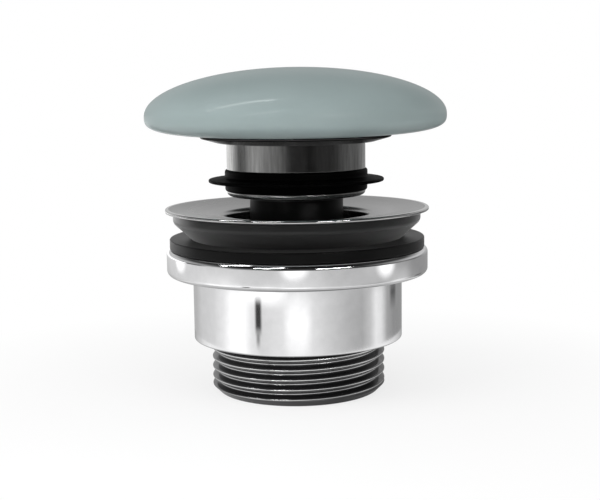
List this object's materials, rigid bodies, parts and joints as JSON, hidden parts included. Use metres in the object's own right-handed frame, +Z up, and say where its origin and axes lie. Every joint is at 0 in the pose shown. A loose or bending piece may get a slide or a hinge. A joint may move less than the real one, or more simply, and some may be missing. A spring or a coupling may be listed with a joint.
{
  "type": "sprung plug basin waste",
  "caption": "Round sprung basin waste: ceramic-capped push plug with a sealing fin over a dished flange, with gasket, rubber washer and collar nut on a threaded tail.",
  "frame": {"origin": "centre of the tail's end face, the lowest plane of the part", "axes": "+Z up the waste's axis towards the cap; the keys and cam pins lie along X at rest"},
  "size_m": [0.0716, 0.0716, 0.0774],
  "materials": {
    "waste_body": "satin chrome plate, darker on the thread",
    "flange_gasket": "matt moulded rubber",
    "basin_washer": "matt moulded rubber",
    "collar_nut": "bright chrome plate",
    "cartridge_sleeve": "moulded black plastic",
    "sleeve_cap": "moulded black plastic",
    "plunger": "moulded white plastic",
    "plunger_spring": "drawn stainless wire",
    "cam_ring": "moulded grey plastic",
    "cam_pin_a": "ground stainless pin",
    "cam_pin_b": "ground stainless pin",
    "plug_cup": "turned and brushed",
    "cup_ring": "matt rubber",
    "plug_seal": "smooth black rubber",
    "cap_plate": "polished dark metal",
    "ceramic_cap": "gloss glaze",
    "plug_stud": "turned",
    "screw_washer": "stamped",
    "mounting_screw": "rolled"
  },
  "bodies": {
    "waste": {"waste_body": "waste_body", "flange_gasket": "flange_gasket", "cartridge_sleeve": "cartridge_sleeve", "sleeve_cap": "sleeve_cap", "plunger_spring": "plunger_spring", "screw_washer": "screw_washer", "mounting_screw": "mounting_screw"},
    "plug": {"ceramic_cap": "ceramic_cap", "cap_plate": "cap_plate", "plug_cup": "plug_cup", "cup_ring": "cup_ring", "plug_seal": "plug_seal", "plug_stud": "plug_stud", "plunger": "plunger"},
    "cam_rotor": {"cam_ring": "cam_ring", "cam_pin_a": "cam_pin_a", "cam_pin_b": "cam_pin_b"},
    "washer": {"basin_washer": "basin_washer"},
    "nut": {"collar_nut": "collar_nut"}
  },
  "joints": [
    {"name": "plug_press", "type": "slide", "parent": "waste", "child": "plug", "axis": [0, 0, -1], "range_m": [0, 0.0069], "stiffness_N_per_m": 1200, "springref_m": -0.008, "deforming": ["plunger_spring"]},
    {"name": "cam_ring_turn", "type": "hinge", "parent": "waste", "child": "cam_rotor", "pos_m": [0, 0, 0.0352], "axis": [0, 0, 1], "range_deg": [0, 50]},
    {"name": "washer_slide", "type": "slide", "parent": "waste", "child": "washer", "axis": [0, 0, -1], "range_m": [0, 0.0116]},
    {"name": "nut_turn", "type": "hinge", "parent": "washer", "child": "nut", "pos_m": [0, 0, 0.0237], "axis": [0, 0, -1], "range_deg": [0, 1800]}
  ],
  "couplings": [
    {"joint": "cam_ring_turn", "follows": "plug_press", "rad_per_m": 124.67},
    {"joint": "washer_slide", "follows": "nut_turn", "m_per_rad": 0.00036749}
  ]
}
